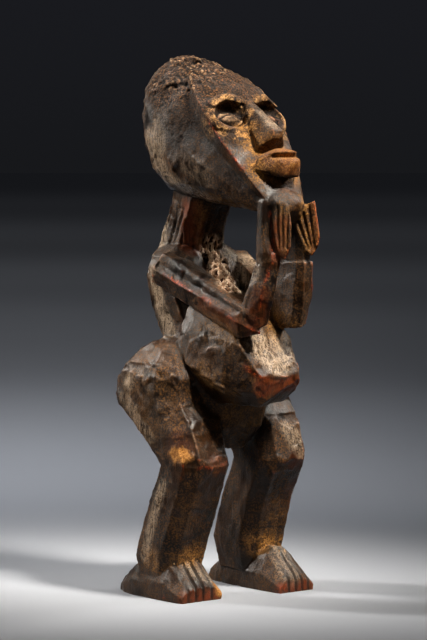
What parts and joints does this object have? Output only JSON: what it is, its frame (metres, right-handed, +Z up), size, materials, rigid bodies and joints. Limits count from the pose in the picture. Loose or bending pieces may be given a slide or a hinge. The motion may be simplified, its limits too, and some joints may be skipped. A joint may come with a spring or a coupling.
{
  "type": "carved wooden power figure",
  "caption": "Standing figure carved from one block of dark hardwood, with bent knees, a swollen belly and both hands raised to the chin of its large head.",
  "frame": {"origin": "on the ground, below the middle of the figure's own outline", "axes": "+Z up from the soles to the crown, the figure faces -Y, its own left side is +X"},
  "size_m": [0.0956, 0.1174, 0.2954],
  "materials": {
    "wood": "dark hand-worn patina over knife-cut facets"
  },
  "bodies": {
    "root": {"figure": "wood"}
  },
  "joints": []
}
